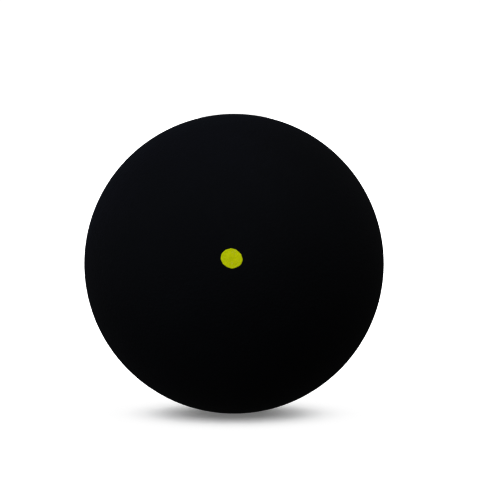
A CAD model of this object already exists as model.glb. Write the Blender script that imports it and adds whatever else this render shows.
import math

import bmesh
import bpy
import numpy as np
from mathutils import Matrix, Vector


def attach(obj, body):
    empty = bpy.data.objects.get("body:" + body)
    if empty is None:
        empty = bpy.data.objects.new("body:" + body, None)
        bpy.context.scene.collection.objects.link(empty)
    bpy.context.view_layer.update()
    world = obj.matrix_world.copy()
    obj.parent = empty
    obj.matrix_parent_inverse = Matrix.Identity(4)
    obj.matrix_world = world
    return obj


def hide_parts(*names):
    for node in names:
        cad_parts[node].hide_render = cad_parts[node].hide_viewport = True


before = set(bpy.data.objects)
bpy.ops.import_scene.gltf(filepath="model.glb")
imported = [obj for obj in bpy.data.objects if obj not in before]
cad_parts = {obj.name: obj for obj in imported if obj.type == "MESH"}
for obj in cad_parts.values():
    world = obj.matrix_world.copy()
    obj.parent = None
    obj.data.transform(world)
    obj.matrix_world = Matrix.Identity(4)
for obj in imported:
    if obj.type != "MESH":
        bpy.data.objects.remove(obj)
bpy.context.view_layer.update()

# ---- the ball's own sizes, in millimetres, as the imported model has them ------
R = 20.0            # outer radius
R_IN = 15.0         # cavity
HALF_FILM = 0.10    # half of the cement film
BREAK = 0.06        # broken outer edge of each rim
BEVEL = 0.40        # inner bevel of each rim
RECESS = 0.03       # cement line under the rubber
BEAD = 0.24         # cement bead inside

DOT_LONG, DOT_WIDE = 2.86, 2.54
DOT_TURN = math.radians(-21.0)
DOT_AZ, DOT_EL = math.radians(-0.87), math.radians(6.91)
INK = 0.04

MM = 0.001

RIM_OUT = math.sqrt(R * R - HALF_FILM**2)
BREAK_Y = HALF_FILM + BREAK
BREAK_R = math.sqrt(R * R - BREAK_Y**2)
BEVEL_Y = HALF_FILM + BEVEL
BEVEL_R = math.sqrt(R_IN**2 - BEVEL_Y**2)
RIM_IN = R_IN + BEVEL


# ---- gradient noise ---------------------------------------------------------
def _hash(ix, iy, iz, seed):
    h = (ix.astype(np.uint32) * np.uint32(374761393)
         + iy.astype(np.uint32) * np.uint32(668265263)
         + iz.astype(np.uint32) * np.uint32(2147483647)
         + np.uint32((seed * 1274126177) & 0xFFFFFFFF))
    h = (h ^ (h >> np.uint32(13))) * np.uint32(1274126177)
    h = (h ^ (h >> np.uint32(16))) * np.uint32(2246822519)
    return h ^ (h >> np.uint32(15))


def noise(p, wavelength, seed):
    """Gradient noise, about -1 to 1, of points p in millimetres."""
    q = np.asarray(p, float) / wavelength + 517.3
    i = np.floor(q).astype(np.int64)
    f = q - i
    u = f * f * f * (f * (f * 6 - 15) + 10)
    total = np.zeros(len(q))
    for dx in (0, 1):
        for dy in (0, 1):
            for dz in (0, 1):
                h = _hash(i[:, 0] + dx, i[:, 1] + dy, i[:, 2] + dz, seed)
                z = (h & np.uint32(0xFFFF)).astype(float) / 32767.5 - 1
                a = (h >> np.uint32(16)).astype(float) / 65536.0 * 2 * math.pi
                s = np.sqrt(np.maximum(0, 1 - z * z))
                dot = (s * np.cos(a) * (f[:, 0] - dx) + s * np.sin(a) * (f[:, 1] - dy) + z * (f[:, 2] - dz))
                w = ((u[:, 0] if dx else 1 - u[:, 0])
                     * (u[:, 1] if dy else 1 - u[:, 1])
                     * (u[:, 2] if dz else 1 - u[:, 2]))
                total += w * dot
    return total * 1.55


def smooth(x, a, b):
    t = np.clip((x - a) / (b - a), 0, 1)
    return t * t * (3 - 2 * t)


# ---- the rubber's real surface: how far each point stands off the sphere -----
rng = np.random.RandomState(40)


def scattered(n):
    v = rng.normal(size=(n, 3))
    return v / np.linalg.norm(v, axis=1)[:, None]


PITS = [(c, r, d) for c, r, d in zip(scattered(260), rng.uniform(0.18, 0.42, 260), rng.uniform(0.005, 0.014, 260))]
SCUFFS = []
for c in scattered(46):
    along = np.cross(c, rng.normal(size=3))
    along /= np.linalg.norm(along)
    SCUFFS.append((c, along, rng.uniform(1.2, 4.0), rng.uniform(0.16, 0.26), rng.uniform(0.004, 0.009)))


def relief(unit):
    """Millimetres above the nominal sphere, for unit directions."""
    p = unit * R
    grain = noise(p, 0.52, 1)
    h = (0.0050 * noise(p, 2.6, 2)
         + 0.0055 * noise(p, 1.15, 3)
         + 0.0165 * (0.55 - np.abs(grain) * 1.6)
         + 0.0070 * noise(p, 0.62, 4))
    for c, r, d in PITS:
        near = unit @ c > math.cos(3 * r / R)
        if near.any():
            q2 = np.sum((p[near] - c * R) ** 2, axis=1) / (r * r)
            h[near] -= d * np.exp(-1.4 * q2 * q2)
    for c, along, length, width, depth in SCUFFS:
        near = unit @ c > math.cos(1.3 * length / R)
        if near.any():
            v = p[near] - c * R
            s = v @ along
            side = np.cross(c, along)
            t = v @ side - 0.02 * s * s
            h[near] -= depth * np.exp(-(t / width) ** 2) * smooth(length - np.abs(s), 0, 0.6 * length)
    y = np.abs(p[:, 1])
    uneven = 0.35 * noise(p, 2.2, 6)
    h *= 0.22 + 0.78 * smooth(y + uneven, 0.9, 2.3)      # the seam is buffed smoother
    streak = noise(p * np.array([0.16, 1.0, 0.16]), 0.36, 7)
    h += 0.0022 * streak * (1 - smooth(y + uneven, 1.2, 2.4))
    return h * smooth(y, BREAK_Y, BREAK_Y + 0.35) - 0.0005


# ---- meshes -----------------------------------------------------------------
def make_object(name, co_mm, faces, uv=None, sharp_deg=35.0, material=None):
    me = bpy.data.meshes.new(name)
    me.from_pydata([tuple(c) for c in np.asarray(co_mm) * MM], [], faces)
    me.update()
    if uv is not None:
        layer = me.uv_layers.new(name="OFBake")
        flat = np.array([c for loop in uv for c in loop], float).reshape(-1)
        layer.data.foreach_set("uv", flat)
    bm = bmesh.new()
    bm.from_mesh(me)
    bmesh.ops.recalc_face_normals(bm, faces=bm.faces)
    bm.to_mesh(me)
    bm.free()
    me.shade_smooth()
    me.set_sharp_from_angle(angle=math.radians(sharp_deg))
    ob = bpy.data.objects.new(name, me)
    bpy.context.scene.collection.objects.link(ob)
    if material is not None:
        me.materials.append(material)
    return ob


def disc_grid(n):
    """A square grid of n x n quads carried onto the unit disc, even in area: (n+1)^2 points, and the boundary's indices in order."""
    t = np.linspace(-1, 1, n + 1)
    u, v = np.meshgrid(t, t, indexing="ij")
    u, v = u.ravel(), v.ravel()
    wide = np.abs(u) >= np.abs(v)
    r = np.where(wide, u, v)
    with np.errstate(divide="ignore", invalid="ignore"):
        phi = np.where(wide, (math.pi / 4) * (v / np.where(u == 0, 1, u)),
                       math.pi / 2 - (math.pi / 4) * (u / np.where(v == 0, 1, v)))
    x, y = r * np.cos(phi), r * np.sin(phi)
    idx = np.arange((n + 1) * (n + 1)).reshape(n + 1, n + 1)
    quads = np.stack([idx[:-1, :-1], idx[1:, :-1], idx[1:, 1:], idx[:-1, 1:]], axis=-1).reshape(-1, 4)
    edge = list(idx[:, 0]) + list(idx[-1, 1:]) + list(idx[-2::-1, -1]) + list(idx[0, -2:0:-1])
    return x, y, quads, edge


def half_shell(name, side, material, n_out=264, n_in=66):
    """One moulded half. side is -1 for the front, +1 for the rear. Outer face with its grain, broken edge, flat rim, inner bevel, cavity wall."""
    co, uv_of, faces = [], [], []
    # outer face
    x, y, quads, edge = disc_grid(n_out)
    rho2 = x * x + y * y
    cos_t = 1 - (1 - BREAK_Y / R) * rho2
    sin_t = np.sqrt(np.maximum(0, 1 - cos_t**2))
    rho = np.sqrt(np.maximum(rho2, 1e-18))
    unit = np.stack([sin_t * x / rho, side * cos_t, sin_t * y / rho], axis=1)
    unit /= np.linalg.norm(unit, axis=1)[:, None]
    pts = unit * (R + relief(unit))[:, None]
    co.extend(pts.tolist())
    uv_of.extend(zip(0.5 + 0.482 * x, 0.5 + 0.482 * y))
    faces.extend(quads.tolist())
    ring = list(edge)
    angle = np.arctan2([y[i] for i in ring], [x[i] for i in ring])

    def add_ring(radius, height, ring, angle, place):
        start = len(co)
        for a in angle:
            co.append([radius * math.cos(a), side * height, radius * math.sin(a)])
            uv_of.append((place[0] + place[2] * math.cos(a), place[1] + place[2] * math.sin(a)))
        new = list(range(start, start + len(angle)))
        if len(new) == len(ring):
            for k in range(len(ring)):
                j = (k + 1) % len(ring)
                faces.append([ring[k], ring[j], new[j], new[k]])
        else:                                  # two edges of the old ring meet one of the new
            m = len(new)
            for k in range(m):
                a0, a1, a2 = ring[2 * k], ring[2 * k + 1], ring[(2 * k + 2) % len(ring)]
                b0, b1 = new[k], new[(k + 1) % m]
                faces.extend([[a0, a1, b0], [a1, b1, b0], [a1, a2, b1]])
        return new

    # the broken edge, rounded in four steps
    corner_r, corner_y = RIM_OUT - BREAK, HALF_FILM
    for k, t in enumerate((0.3, 0.6, 0.85, 1.0)):
        bow = 0.014 * math.sin(math.pi * t)
        r_k = BREAK_R + (corner_r - BREAK_R) * t + bow * 0.7
        y_k = BREAK_Y + (corner_y - BREAK_Y) * t - bow * 0.2
        if t == 1.0:
            r_k, y_k = corner_r, corner_y
        ring = add_ring(r_k, y_k, ring, angle, (0.5, 0.5, 0.482 + 0.0035 * (k + 1)))
    # the flat rim, hidden against the cement, in coarser and coarser rings
    ring = add_ring(corner_r - 0.35, HALF_FILM, ring, angle, (0.915, 0.085, 0.078))
    rim_seam = set(ring)
    angle = angle[::2]
    ring = add_ring(corner_r - 1.2, HALF_FILM, ring, angle, (0.915, 0.085, 0.066))
    angle = angle[::2]
    ring = add_ring(corner_r - 2.6, HALF_FILM, ring, angle, (0.915, 0.085, 0.052))
    ring = add_ring(RIM_IN, HALF_FILM, ring, angle, (0.915, 0.085, 0.034))
    # the cavity wall
    first_in = len(co)
    xi, yi, quads_in, edge_in = disc_grid(n_in)
    rho2 = xi * xi + yi * yi
    cos_t = 1 - (1 - BEVEL_Y / R_IN) * rho2
    sin_t = np.sqrt(np.maximum(0, 1 - cos_t**2))
    rho = np.sqrt(np.maximum(rho2, 1e-18))
    unit = np.stack([sin_t * xi / rho, side * cos_t, sin_t * yi / rho], axis=1)
    unit /= np.linalg.norm(unit, axis=1)[:, None]
    wall = R_IN + 0.006 * noise(unit * R_IN, 3.0, 11) * smooth(np.abs(unit[:, 1]) * R_IN, BEVEL_Y, 2.0)
    co.extend((unit * wall[:, None]).tolist())
    uv_of.extend(zip(0.085 + 0.076 * xi, 0.085 + 0.076 * yi))
    faces.extend((quads_in[:, ::-1] + first_in).tolist())
    inner = [first_in + i for i in edge_in]
    inner_angle = np.arctan2([yi[i] for i in edge_in], [xi[i] for i in edge_in])
    shift = int(np.argmin(np.abs(np.exp(1j * inner_angle) - np.exp(1j * angle[0]))))
    inner = inner[shift:] + inner[:shift]
    for k in range(len(ring)):
        j = (k + 1) % len(ring)
        faces.append([ring[k], ring[j], inner[j], inner[k]])

    # one place on the bake map per face corner; the hidden rim and cavity keep to their own corners of it
    uv = []
    for f in faces:
        spots = [uv_of[i] for i in f]
        if any(i in rim_seam for i in f) and any(s[0] < 0.83 or s[1] > 0.17 for s in spots):
            fixed = []
            for i in f:
                a = math.atan2(co[i][2], co[i][0])
                fixed.append((0.915 + (0.078 if i in rim_seam else 0.082) * math.cos(a),
                              0.085 + (0.078 if i in rim_seam else 0.082) * math.sin(a)))
            spots = fixed
        elif any(i >= first_in for i in f) and any(i < first_in for i in f):
            spots = []
            for i in f:
                a = math.atan2(co[i][2], co[i][0])
                d = 0.076 if i >= first_in else 0.082
                spots.append((0.085 + d * math.cos(a), 0.085 + d * math.sin(a)))
        uv.append(spots)
    return make_object(name, co, faces, uv, 30.0, material)


def cement_ring(name, material, n=720):
    """The cured cement: the hairline that shows between the rims, the film and the bead inside."""
    a = np.linspace(0, 2 * math.pi, n, endpoint=False)
    on = np.stack([np.cos(a), np.zeros(n), np.sin(a)], axis=1)
    fill = RECESS + 0.011 * noise(on * R, 1.6, 21) + 0.007 * noise(on * R, 0.6, 22)
    bead = BEAD * (1 + 0.22 * noise(on * R_IN, 5.0, 23) + 0.10 * noise(on * R_IN, 1.4, 24))
    sway = 0.012 * noise(on * R, 2.4, 25)
    rows = []
    corner = RIM_OUT - BREAK
    rows.append((np.full(n, RIM_IN), np.full(n, -HALF_FILM)))
    rows.append((np.full(n, corner), np.full(n, -HALF_FILM)))
    rows.append((R - fill - 0.008, -0.062 + sway))
    rows.append((R - fill, -0.025 + sway))
    rows.append((R - fill + 0.002, 0.018 + sway))
    rows.append((R - fill - 0.008, 0.060 + sway))
    rows.append((np.full(n, corner), np.full(n, HALF_FILM)))
    rows.append((np.full(n, RIM_IN), np.full(n, HALF_FILM)))
    rows.append((np.full(n, BEVEL_R), np.full(n, BEVEL_Y)))
    for t in (0.8, 0.5, 0.2, -0.2, -0.5, -0.8):
        rows.append((BEVEL_R - (BEVEL_R - R_IN + bead) * math.sqrt(1 - t * t), np.full(n, BEVEL_Y * t)))
    rows.append((np.full(n, BEVEL_R), np.full(n, -BEVEL_Y)))
    m = len(rows)
    co = np.zeros((n, m, 3))
    for k, (r, y) in enumerate(rows):
        co[:, k, 0], co[:, k, 1], co[:, k, 2] = r * np.cos(a), y, r * np.sin(a)
    faces = []
    for i in range(n):
        j = (i + 1) % n
        for k in range(m):
            q = (k + 1) % m
            faces.append([i * m + k, i * m + q, j * m + q, j * m + k])
    return make_object(name, co.reshape(-1, 3), faces, None, 40.0, material)


def taut(radius, a):
    """A closed outline, radius against angle, pulled straight between its outermost points."""
    x, y = radius * np.cos(a), radius * np.sin(a)
    n = len(a)
    first = int(np.argmax(radius))
    keep = [first]
    for i in [(first + k) % n for k in range(1, n + 1)]:
        while len(keep) > 1:
            p, q = keep[-2], keep[-1]
            if (x[q] - x[p]) * (y[i] - y[q]) - (y[q] - y[p]) * (x[i] - x[q]) > 0:
                break
            keep.pop()
        keep.append(i)
    out = radius.copy()
    for p, q in zip(keep[:-1], keep[1:]):
        k = (p + 1) % n
        while k != q:
            out[k] = (x[p] * y[q] - x[q] * y[p]) / (math.cos(a[k]) * (y[q] - y[p]) - math.sin(a[k]) * (x[q] - x[p]))
            k = (k + 1) % n
    return out


def printed_dot(name, material, rings=44, n=288):
    """The dot: a film of ink with an uneven printed edge, a thicker rim and the rubber's grain showing through it."""
    normal = np.array([math.sin(DOT_AZ) * math.cos(DOT_EL), -math.cos(DOT_AZ) * math.cos(DOT_EL), math.sin(DOT_EL)])
    level = np.cross([0, 0, 1.0], normal)
    level /= np.linalg.norm(level)
    rise = np.cross(normal, level)
    a = np.linspace(0, 2 * math.pi, n, endpoint=False)
    t = a - DOT_TURN
    la, lb = DOT_LONG / 2, DOT_WIDE / 2
    out = la * lb / np.sqrt((lb * np.cos(t)) ** 2 + (la * np.sin(t)) ** 2)
    ragged = np.stack([np.cos(a), np.sin(a), np.zeros(n)], axis=1) * la
    out *= 0.987 + 0.012 * np.cos(4 * (a + 0.15)) + 0.006 * np.cos(3 * (a + 0.56)) + 0.008 * noise(ragged, 0.62, 31)
    for waves, swing, turn in ((1, 0.0115, 103), (6, 0.0053, -173), (7, 0.0047, -115), (9, 0.0030, 171),
                               (10, 0.0068, 101), (11, 0.0079, 101), (12, 0.0085, -14), (13, 0.0050, 119)):
        out *= 1 + swing * np.cos(waves * a + math.radians(turn))      # the print's edge is a little angular
    out = 0.80 * taut(out, a) + 0.20 * out
    out *= 1 + 0.004 * noise(ragged, 0.30, 32) + 0.003 * noise(ragged, 0.14, 35)
    steps =np.concatenate([np.linspace(0, 0.84, rings - 14)[1:], np.linspace(0.84, 1.0, 15)[1:]])
    co = []

    def on_ball(px, py, height):
        v = px[:, None] * level + py[:, None] * rise
        away = np.sqrt(np.maximum(0, R * R - px**2 - py**2))
        p = v + away[:, None] * normal
        unit = p / np.linalg.norm(p, axis=1)[:, None]
        return unit, unit * (R + height(unit))[:, None]

    centre_unit = normal[None, :]
    co.append((normal * (R + 0.024)).tolist())
    for s in steps:
        px, py = out * s * np.cos(a), out * s * np.sin(a)
        rim = 0.010 * math.exp(-(((s - 0.90) / 0.055) ** 2))
        fall = 1.0 if s < 0.95 else math.sqrt(max(0.0, 1 - ((s - 0.95) / 0.05) ** 2))

        def film(unit):
            own = 0.0022 * noise(unit * R, 0.34, 33) + 0.0016 * noise(unit * R, 0.9, 34)
            return np.clip((0.023 + rim + own + 0.35 * relief(unit)) * fall + 0.001, 0.001, INK - 0.001)

        co.extend(on_ball(px, py, film)[1].tolist())
    # underside, a little way into the rubber's grain
    co.extend(on_ball(out * np.cos(a), out * np.sin(a), lambda u: np.full(len(u), -0.012))[1].tolist())
    co.append((normal * (R - 0.012)).tolist())
    faces = []
    for k in range(n):
        faces.append([0, 1 + k, 1 + (k + 1) % n])
    for s in range(len(steps)):
        for k in range(n):
            j = (k + 1) % n
            faces.append([1 + s * n + k, 1 + (s + 1) * n + k, 1 + (s + 1) * n + j, 1 + s * n + j])
    last = 1 + len(steps) * n
    for k in range(n):
        faces.append([len(co) - 1, last + (k + 1) % n, last + k])
    share = np.concatenate([[0.0], np.repeat(steps, n), np.ones(n), [0.0]])
    ob = make_object(name, np.array(co), faces, None, 50.0, material)
    mark = ob.data.attributes.new("edge_share", "FLOAT", "POINT")
    mark.data.foreach_set("value", share.astype(np.float32))
    return ob


# ---- materials --------------------------------------------------------------
class Nodes:
    def __init__(self, name):
        self.mat = bpy.data.materials.new(name)
        self.mat.use_nodes = True
        self.tree = self.mat.node_tree
        self.shader = self.tree.nodes["Principled BSDF"]

    def add(self, kind, **values):
        node = self.tree.nodes.new(kind)
        for key, value in values.items():
            setattr(node, key, value)
        return node

    def link(self, a, b):
        self.tree.links.new(a, b)

    def object_coords(self):
        return self.add("ShaderNodeTexCoord").outputs["Object"]

    def scaled(self, vector, scale):
        node = self.add("ShaderNodeMapping")
        node.inputs["Scale"].default_value = scale
        self.link(vector, node.inputs["Vector"])
        return node.outputs["Vector"]

    def noise(self, vector, scale, detail=2.0, rough=0.5, distortion=0.0):
        node = self.add("ShaderNodeTexNoise")
        self.link(vector, node.inputs["Vector"])
        node.inputs["Scale"].default_value = scale
        node.inputs["Detail"].default_value = detail
        node.inputs["Roughness"].default_value = rough
        node.inputs["Distortion"].default_value = distortion
        return node.outputs["Fac"]

    def voronoi(self, vector, scale, feature="F1", output="Distance"):
        node = self.add("ShaderNodeTexVoronoi", feature=feature)
        self.link(vector, node.inputs["Vector"])
        node.inputs["Scale"].default_value = scale
        return node.outputs[output]

    def math(self, op, a, b=None, c=None):
        node = self.add("ShaderNodeMath", operation=op)
        for k, x in enumerate((a, b, c)):
            if x is None:
                continue
            if isinstance(x, (int, float)):
                node.inputs[k].default_value = x
            else:
                self.link(x, node.inputs[k])
        return node.outputs[0]

    def span(self, value, a, b, to_a=0.0, to_b=1.0):
        node = self.add("ShaderNodeMapRange", interpolation_type="SMOOTHSTEP")
        self.link(value, node.inputs["Value"])
        node.inputs["From Min"].default_value = a
        node.inputs["From Max"].default_value = b
        node.inputs["To Min"].default_value = to_a
        node.inputs["To Max"].default_value = to_b
        return node.outputs["Result"]

    def mix(self, fac, a, b, blend="MIX"):
        node = self.add("ShaderNodeMix", data_type="RGBA", blend_type=blend)
        for key, x in ((0, fac), (6, a), (7, b)):
            if isinstance(x, (int, float)):
                node.inputs[key].default_value = x
            elif isinstance(x, tuple):
                node.inputs[key].default_value = (*x, 1.0)
            else:
                self.link(x, node.inputs[key])
        return node.outputs[2]

    def bump(self, height, distance, strength=1.0, normal=None):
        node = self.add("ShaderNodeBump")
        node.inputs["Strength"].default_value = strength
        node.inputs["Distance"].default_value = distance
        self.link(height, node.inputs["Height"])
        if normal is not None:
            self.link(normal, node.inputs["Normal"])
        return node.outputs["Normal"]


def rubber_material():
    n = Nodes("ball_rubber")
    at = n.object_coords()
    sep = n.add("ShaderNodeSeparateXYZ")
    n.link(at, sep.inputs[0])
    off_seam = n.math("ABSOLUTE", sep.outputs["Y"])
    ragged = n.math("MULTIPLY_ADD", n.noise(at, 420, 3), 0.0016, off_seam)
    buffed = n.span(ragged, 0.0016, 0.0034, 1.0, 0.0)             # 1 on the band that was buffed at the seam

    cloud = n.noise(at, 95, 4, 0.55)                                # batch-wide unevenness, 10 mm
    mottle = n.noise(at, 430, 5, 0.6)                               # 2 mm
    grain = n.noise(at, 3300, 3, 0.6)                               # 0.3 mm
    cells = n.voronoi(at, 2500, "F1")                               # 0.4 mm pebbles
    streaks = n.noise(n.scaled(at, (900, 9500, 900)), 1.0, 2)       # buffing marks, along the seam

    tone = n.mix(n.span(cloud, 0.34, 0.68), (0.0082, 0.0084, 0.0093), (0.0104, 0.0106, 0.0115))
    tone = n.mix(n.span(mottle, 0.40, 0.72, 0.0, 0.35), tone, (0.0150, 0.0152, 0.0161))
    tone = n.mix(n.span(grain, 0.35, 0.70, 0.50, 0.0), tone, (0.0045, 0.0047, 0.0054))
    tone = n.mix(n.math("MULTIPLY", buffed, n.span(streaks, 0.35, 0.75, 0.05, 0.55)), tone, (0.0175, 0.0177, 0.0182))
    dust_cell = n.add("ShaderNodeTexVoronoi", feature="F1")
    n.link(at, dust_cell.inputs["Vector"])
    dust_cell.inputs["Scale"].default_value = 620
    pick = n.add("ShaderNodeSeparateColor")
    n.link(dust_cell.outputs["Color"], pick.inputs[0])
    few = n.math("GREATER_THAN", pick.outputs[0], 0.86)
    speck = n.math("MULTIPLY", n.span(dust_cell.outputs["Distance"], 0.025, 0.065, 1.0, 0.0), few)
    tone = n.mix(n.math("MULTIPLY", speck, 0.35), tone, (0.040, 0.040, 0.038))
    n.link(tone, n.shader.inputs["Base Color"])

    rough = n.math("ADD", n.span(mottle, 0.3, 0.75, 0.77, 0.85), n.span(grain, 0.3, 0.7, -0.05, 0.06))
    rough = n.math("MULTIPLY_ADD", buffed, -0.10, rough)
    n.link(rough, n.shader.inputs["Roughness"])
    n.shader.inputs["Specular IOR Level"].default_value = 0.22

    pebble = n.math("ADD", n.math("MULTIPLY", n.span(cells, 0.10, 0.62, 1.0, 0.0), 0.55), n.math("MULTIPLY", grain, 0.75))
    fine = n.noise(at, 7200, 2, 0.5)
    height = n.math("MULTIPLY_ADD", fine, 0.30, pebble)
    height = n.math("MULTIPLY", height, n.math("MULTIPLY_ADD", buffed, -0.6, 1.0))
    height = n.math("ADD", height, n.math("MULTIPLY", n.math("MULTIPLY", buffed, streaks), 0.5))
    n.link(n.bump(height, 0.000032, 1.0), n.shader.inputs["Normal"])
    return n.mat


def cement_material():
    n = Nodes("rubber_cement")
    at = n.object_coords()
    blotch = n.noise(at, 900, 4, 0.6)
    fine = n.noise(at, 5200, 3, 0.6)
    tone = n.mix(n.span(blotch, 0.35, 0.7), (0.0070, 0.0068, 0.0066), (0.0150, 0.0145, 0.0135))
    n.link(tone, n.shader.inputs["Base Color"])
    n.link(n.span(fine, 0.3, 0.7, 0.42, 0.60), n.shader.inputs["Roughness"])
    n.shader.inputs["Specular IOR Level"].default_value = 0.22
    n.link(n.bump(n.math("ADD", fine, blotch), 0.00002, 0.7), n.shader.inputs["Normal"])
    return n.mat


def ink_material():
    n = Nodes("yellow_ink")
    at = n.object_coords()
    edge = n.add("ShaderNodeAttribute", attribute_name="edge_share").outputs["Fac"]
    blot = n.noise(at, 1300, 4, 0.6)                                # 0.8 mm
    grain = n.noise(at, 3600, 3, 0.6)                               # 0.28 mm
    tone = n.mix(n.span(blot, 0.36, 0.66), (0.775, 0.782, 0.0048), (0.860, 0.856, 0.0060))
    tone = n.mix(n.span(grain, 0.42, 0.72, 0.0, 0.35), tone, (0.850, 0.860, 0.0160))
    tone = n.mix(n.math("MULTIPLY", n.span(edge, 0.72, 0.90), 0.22), tone, (0.850, 0.890, 0.0022))
    thin = n.math("MULTIPLY", n.span(grain, 0.66, 0.80), n.span(blot, 0.50, 0.66))
    tone = n.mix(n.math("MULTIPLY", thin, 0.35), tone, (0.420, 0.450, 0.0060))
    bent = n.add("ShaderNodeVectorMath", operation="MULTIPLY_ADD")
    stir = n.add("ShaderNodeTexNoise")
    n.link(at, stir.inputs["Vector"])
    stir.inputs["Scale"].default_value = 3400
    n.link(stir.outputs["Color"], bent.inputs[0])
    bent.inputs[1].default_value = (0.00042, 0.00042, 0.00042)
    n.link(at, bent.inputs[2])
    cell = n.add("ShaderNodeTexVoronoi", feature="F1")              # grains that stand proud of the ink, rubbed pale
    n.link(bent.outputs[0], cell.inputs["Vector"])
    cell.inputs["Scale"].default_value = 2900
    pick = n.add("ShaderNodeSeparateColor")
    n.link(cell.outputs["Color"], pick.inputs[0])
    rubbed = n.math("MULTIPLY", n.span(cell.outputs["Distance"], 0.10, 0.62, 1.0, 0.0), n.span(pick.outputs[0], 0.55, 0.95))
    tone = n.mix(n.math("MULTIPLY", rubbed, 0.50), tone, (0.880, 0.820, 0.150))
    tone = n.mix(n.span(edge, 0.965, 1.0, 0.0, 0.65), tone, (0.230, 0.250, 0.0040))
    n.link(tone, n.shader.inputs["Base Color"])
    n.link(n.math("MULTIPLY_ADD", rubbed, 0.10, n.span(grain, 0.3, 0.7, 0.46, 0.60)), n.shader.inputs["Roughness"])
    n.shader.inputs["Specular IOR Level"].default_value = 0.10
    n.link(n.bump(n.math("ADD", grain, n.math("MULTIPLY", blot, 0.7)), 0.000020, 0.7), n.shader.inputs["Normal"])
    return n.mat


rubber = rubber_material()
cement = cement_material()
ink = ink_material()

front = half_shell("front_half_shell_buffed", -1, rubber)
rear = half_shell("rear_half_shell_buffed", 1, rubber)
seam = cement_ring("seam_cement_line", cement)
dot = printed_dot("speed_dot_print", ink)

for piece, node, slot in ((front, "front_half_shell", "ball_rubber"), (rear, "rear_half_shell", "ball_rubber"),
                          (seam, "seam_cement", "rubber_cement"), (dot, "speed_dot", "yellow_ink")):
    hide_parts(node)
    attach(piece, "root")


# ---- floor ------------------------------------------------------------------
def make_floor():
    bm = bmesh.new()
    bmesh.ops.create_circle(bm, cap_ends=True, cap_tris=False, segments=128, radius=0.9)
    me = bpy.data.meshes.new("floor")
    bm.to_mesh(me)
    bm.free()
    ob = bpy.data.objects.new("floor", me)
    ob.location = (0, 0, -R * MM)
    bpy.context.scene.collection.objects.link(ob)
    n = Nodes("floor_white")
    n.tree.nodes.remove(n.shader)
    white = n.add("ShaderNodeBsdfDiffuse")
    white.inputs["Color"].default_value = (0.90, 0.90, 0.90, 1)
    glow = n.add("ShaderNodeEmission")
    glow.inputs["Strength"].default_value = 0.274
    both = n.add("ShaderNodeAddShader")
    n.link(white.outputs[0], both.inputs[0])
    n.link(glow.outputs[0], both.inputs[1])
    n.link(both.outputs[0], n.tree.nodes["Material Output"].inputs["Surface"])
    me.materials.append(n.mat)
    ob.visible_diffuse = False
    ob.visible_glossy = False
    return ob


floor = make_floor()

# ---- light ------------------------------------------------------------------
only_floor = bpy.data.collections.new("floor_only")
only_floor.objects.link(floor)
only_ball = bpy.data.collections.new("ball_only")
for piece in (front, rear, seam, dot):
    only_ball.objects.link(piece)


def softbox(name, at, size, radiance, colour, receivers, aim=(0, 0, 0)):
    light = bpy.data.lights.new(name, "AREA")
    light.shape = "RECTANGLE"
    light.size, light.size_y = size
    light.color = colour
    light.energy = radiance * math.pi * size[0] * size[1]
    ob = bpy.data.objects.new(name, light)
    ob.location = at
    ob.rotation_mode = "QUATERNION"
    ob.rotation_quaternion = (Vector(aim) - Vector(at)).to_track_quat("-Z", "Y")
    ob.visible_camera = False
    ob.light_linking.receiver_collection = receivers
    bpy.context.scene.collection.objects.link(ob)
    return ob


softbox("floor_light", (0, 0.3035, 0.60), (2.906, 3.112), 2.156, (1, 1, 1), only_floor, aim=(0, 0.3035, 0))
softbox("floor_back", (0, 0.948, 0.60), (1.468, 0.781), 0.995, (1, 1, 1), only_floor, aim=(0, 0.948, 0))
softbox("front_top", Vector((0, -0.60, 0.80)) * 0.70, (0.50, 0.50), 2.85, (0.86, 1.0, 1.36), only_ball)
softbox("left_low", Vector((-0.85, -0.50, 0.17)) * 0.70, (0.55, 0.24), 4.4, (0.91, 1.0, 1.24), only_ball)
softbox("right_front", Vector((0.62, -0.51, 0.60)) * 0.70, (0.50, 0.50), 0.75, (1.08, 1.0, 0.88), only_ball)
softbox("left_back", Vector((-0.80, 0.55, 0.25)) * 0.70, (0.45, 0.60), 0.65, (0.95, 1.0, 1.25), only_ball)
softbox("right_back", Vector((0.62, 0.72, 0.30)) * 0.70, (0.45, 0.60), 0.25, (1.0, 1.0, 1.0), only_ball)
softbox("top", Vector((0, 0.15, 0.99)) * 0.60, (0.50, 0.50), 1.15, (0.92, 1.0, 1.22), only_ball)
behind = Vector((0.0, 0.9962, -0.0872))
softbox("rear_near", behind * 0.06, (0.03, 0.03), 30.0, (1.0, 1.0, 1.04), only_ball)
rear_far = softbox("rear_far", behind * 0.40, (0.04, 0.04), 390.0, (1.0, 1.0, 1.04), only_ball)
rear_far.light_linking.blocker_collection = only_ball      # it shines past the floor

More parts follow.
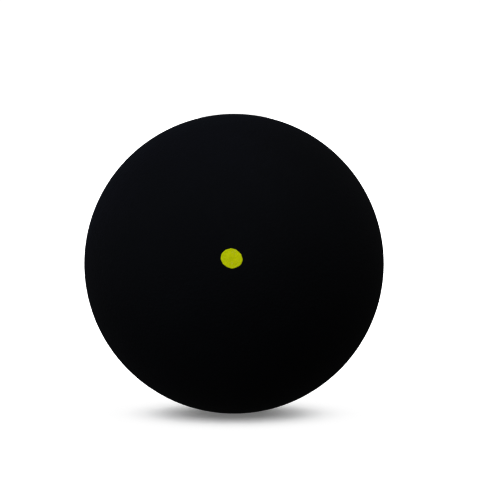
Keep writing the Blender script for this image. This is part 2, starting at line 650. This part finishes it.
world = bpy.data.worlds.new("studio")
bpy.context.scene.world = world
world.use_nodes = True
wt = world.node_tree
seen = wt.nodes["Background"]
seen.inputs["Color"].default_value = (1, 1, 1, 1)
seen.inputs["Strength"].default_value = 1.35
unseen = wt.nodes.new("ShaderNodeBackground")
unseen.inputs["Color"].default_value = (0.95, 0.98, 1.0, 1)
unseen.inputs["Strength"].default_value = 0.165
path = wt.nodes.new("ShaderNodeLightPath")
pick = wt.nodes.new("ShaderNodeMixShader")
wt.links.new(path.outputs["Is Camera Ray"], pick.inputs[0])
wt.links.new(unseen.outputs[0], pick.inputs[1])
wt.links.new(seen.outputs[0], pick.inputs[2])
wt.links.new(pick.outputs[0], wt.nodes["World Output"].inputs["Surface"])

view = bpy.context.scene.view_settings
view.view_transform = "Standard"
view.look = "None"
view.exposure = 0.0
view.gamma = 0.70
# deep blacks as in the photograph, and a soft shoulder, so that the floor runs out to white without an edge
WHITE = 1.5
view.use_curve_mapping = True
grade = view.curve_mapping
grade.white_level = (WHITE, WHITE, WHITE)
grade.use_clip = False
grade.extend = "HORIZONTAL"
line = grade.curves[3]
line.points[1].location = (1.0, 1.03)
for value, shown in ((0.024, 0.0168), (0.12, 0.12), (0.70, 0.70), (0.82, 0.813), (0.90, 0.880), (1.00, 0.930), (1.10, 0.970), (1.20, 0.991), (1.30, 1.0)):
    line.points.new(value / WHITE, shown)
for point in line.points:
    point.handle_type = "VECTOR"
grade.update()

# ---- camera: in front, a little above, the ball left of and below the middle --
DISTANCE = 0.45
ELEVATION = math.radians(5.0)
RADIUS_PX = 149.9
OFF_PX = (-5.96, 23.63)        # from the middle of the 480 x 480 frame to the ball's centre, right and down
focal_px = RADIUS_PX / ((R * MM) / math.sqrt(DISTANCE**2 - (R * MM) ** 2))
cam_data = bpy.data.cameras.new("camera")
cam_data.sensor_width = 36.0
cam_data.lens = focal_px * 36.0 / 480.0
cam_data.clip_start, cam_data.clip_end = 0.01, 20.0
cam = bpy.data.objects.new("camera", cam_data)
bpy.context.scene.collection.objects.link(cam)
back = Vector((0, -math.cos(ELEVATION), math.sin(ELEVATION)))
up = Vector((0, math.sin(ELEVATION), math.cos(ELEVATION)))
right = Vector((1, 0, 0))
cam.location = back * DISTANCE
aim = right * (-OFF_PX[0] / focal_px * DISTANCE) + up * (OFF_PX[1] / focal_px * DISTANCE)
cam.rotation_mode = "QUATERNION"
cam.rotation_quaternion = (aim - cam.location).to_track_quat("-Z", "Y")
bpy.context.scene.camera = cam
